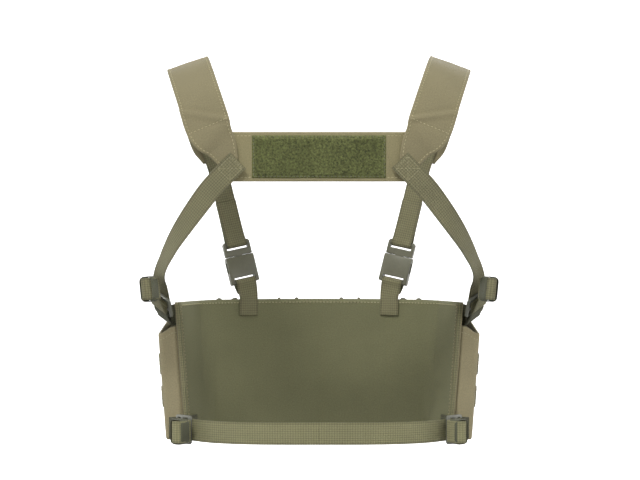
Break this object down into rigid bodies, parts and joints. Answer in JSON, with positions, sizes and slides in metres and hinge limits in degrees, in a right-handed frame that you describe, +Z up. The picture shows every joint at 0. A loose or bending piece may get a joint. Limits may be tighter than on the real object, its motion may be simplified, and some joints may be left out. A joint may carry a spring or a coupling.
{
  "type": "load-carrying chest rig",
  "caption": "Chest rig of open-topped pouches on a wrapped panel, hung from wide shoulder straps and a back yoke with a loop patch, with side and waist straps.",
  "frame": {"origin": "on the torso's centreline, midway between chest and back, at armpit height", "axes": "+X the wearer's right, +Y the way the wearer faces, +Z up"},
  "size_m": [0.4128, 0.2826, 0.4472],
  "materials": {
    "webbing": "ribbed woven nylon webbing, olive drab, matt",
    "cloth": "coated plain-weave nylon, olive drab, matt",
    "loop_pile": "hook-and-loop loop pile, dark green, fuzzy",
    "moulded_plastic": "moulded acetal, olive grey, satin",
    "elastic": "woven elastic and bungee sheath, dark olive",
    "stiffener_plastic": "plain polyethylene sheet, black"
  },
  "bodies": {
    "root": {"back_yoke": "cloth", "yoke_loop_patch": "loop_pile", "panel_back": "cloth", "stiffener_sheet": "stiffener_plastic", "panel_front": "cloth", "shoulder_strap_left": "cloth", "upper_anchor_left": "webbing", "side_strap_left": "webbing", "waist_anchor_left": "webbing", "mag_pouch_inner_left": "cloth", "bungee_inner_left": "elastic", "mag_pouch_outer_left": "cloth", "bungee_outer_left": "elastic", "side_pouch_left": "cloth", "side_row_upper_left": "webbing", "side_row_lower_left": "webbing", "buckle_female_left": "moulded_plastic", "buckle_anchor_left": "webbing", "shoulder_web_left": "webbing", "shoulder_strap_right": "cloth", "upper_anchor_right": "webbing", "side_strap_right": "webbing", "waist_anchor_right": "webbing", "mag_pouch_inner_right": "cloth", "bungee_inner_right": "elastic", "mag_pouch_outer_right": "cloth", "bungee_outer_right": "elastic", "side_pouch_right": "cloth", "side_row_upper_right": "webbing", "side_row_lower_right": "webbing", "buckle_female_right": "moulded_plastic", "buckle_anchor_right": "webbing", "shoulder_web_right": "webbing", "waist_strap": "webbing"},
    "upper_lock_left_body": {"upper_lock_left": "moulded_plastic", "upper_left_strap_tail": "webbing", "upper_left_keeper": "elastic"},
    "waist_lock_left_body": {"waist_lock_left": "moulded_plastic", "waist_left_strap_tail": "webbing", "waist_left_keeper": "elastic"},
    "pull_tab_inner_left_body": {"pull_tab_inner_left": "webbing"},
    "pull_tab_outer_left_body": {"pull_tab_outer_left": "webbing"},
    "buckle_male_left_body": {"buckle_male_left": "moulded_plastic", "male_web_left": "webbing"},
    "prong_inner_left_body": {"prong_inner_left": "moulded_plastic"},
    "prong_outer_left_body": {"prong_outer_left": "moulded_plastic"},
    "upper_lock_right_body": {"upper_lock_right": "moulded_plastic", "upper_right_strap_tail": "webbing", "upper_right_keeper": "elastic"},
    "waist_lock_right_body": {"waist_lock_right": "moulded_plastic", "waist_right_strap_tail": "webbing", "waist_right_keeper": "elastic"},
    "pull_tab_inner_right_body": {"pull_tab_inner_right": "webbing"},
    "pull_tab_outer_right_body": {"pull_tab_outer_right": "webbing"},
    "buckle_male_right_body": {"buckle_male_right": "moulded_plastic", "male_web_right": "webbing"},
    "prong_inner_right_body": {"prong_inner_right": "moulded_plastic"},
    "prong_outer_right_body": {"prong_outer_right": "moulded_plastic"}
  },
  "joints": [
    {"name": "upper_lock_left_tilt", "type": "hinge", "parent": "root", "child": "upper_lock_left_body", "pos_m": [-0.182, 0.014, -0.0815], "axis": [0.674, -0.5824, -0.4545], "range_deg": [0, 40]},
    {"name": "waist_lock_left_tilt", "type": "hinge", "parent": "root", "child": "waist_lock_left_body", "pos_m": [-0.163, -0.013, -0.218], "axis": [0, 0, -1], "range_deg": [0, 45]},
    {"name": "pull_tab_inner_left_swing", "type": "hinge", "parent": "root", "child": "pull_tab_inner_left_body", "pos_m": [-0.0408, 0.15663, -0.108], "axis": [0.9903, 0.1392, 0], "range_deg": [0, 110]},
    {"name": "pull_tab_outer_left_swing", "type": "hinge", "parent": "root", "child": "pull_tab_outer_left_body", "pos_m": [-0.12098, 0.12902, -0.108], "axis": [0.866, 0.5, 0], "range_deg": [0, 110]},
    {"name": "buckle_left_slide", "type": "slide", "parent": "root", "child": "buckle_male_left_body", "axis": [-0.2363, 0.0529, 0.9702], "range_m": [0, 0.028]},
    {"name": "prong_inner_left_squeeze", "type": "hinge", "parent": "buckle_male_left_body", "child": "prong_inner_left_body", "pos_m": [-0.08784, 0.11524, -0.01693], "axis": [-0.3237, 0.9372, -0.1299], "range_deg": [0, 6], "stiffness_Nm_per_rad": 0.05},
    {"name": "prong_outer_left_squeeze", "type": "hinge", "parent": "buckle_male_left_body", "child": "prong_outer_left_body", "pos_m": [-0.108, 0.10765, -0.02142], "axis": [-0.3237, 0.9372, -0.1299], "range_deg": [-6, 0], "stiffness_Nm_per_rad": 0.05},
    {"name": "upper_lock_right_tilt", "type": "hinge", "parent": "root", "child": "upper_lock_right_body", "pos_m": [0.182, 0.014, -0.0815], "axis": [0.674, 0.5824, 0.4545], "range_deg": [0, 40]},
    {"name": "waist_lock_right_tilt", "type": "hinge", "parent": "root", "child": "waist_lock_right_body", "pos_m": [0.163, -0.013, -0.218], "axis": [0, 0, 1], "range_deg": [0, 45]},
    {"name": "pull_tab_inner_right_swing", "type": "hinge", "parent": "root", "child": "pull_tab_inner_right_body", "pos_m": [0.0408, 0.15663, -0.108], "axis": [0.9903, -0.1392, 0], "range_deg": [0, 110]},
    {"name": "pull_tab_outer_right_swing", "type": "hinge", "parent": "root", "child": "pull_tab_outer_right_body", "pos_m": [0.12098, 0.12902, -0.108], "axis": [0.866, -0.5, 0], "range_deg": [0, 110]},
    {"name": "buckle_right_slide", "type": "slide", "parent": "root", "child": "buckle_male_right_body", "axis": [0.2363, 0.0529, 0.9702], "range_m": [0, 0.028]},
    {"name": "prong_inner_right_squeeze", "type": "hinge", "parent": "buckle_male_right_body", "child": "prong_inner_right_body", "pos_m": [0.08784, 0.11524, -0.01693], "axis": [-0.3237, -0.9372, 0.1299], "range_deg": [0, 6], "stiffness_Nm_per_rad": 0.05},
    {"name": "prong_outer_right_squeeze", "type": "hinge", "parent": "buckle_male_right_body", "child": "prong_outer_right_body", "pos_m": [0.108, 0.10765, -0.02142], "axis": [-0.3237, -0.9372, 0.1299], "range_deg": [-6, 0], "stiffness_Nm_per_rad": 0.05}
  ],
  "couplings": [
    {"joint": "prong_outer_left_squeeze", "follows": "prong_inner_left_squeeze", "ratio": -1},
    {"joint": "prong_outer_right_squeeze", "follows": "prong_inner_right_squeeze", "ratio": -1}
  ]
}
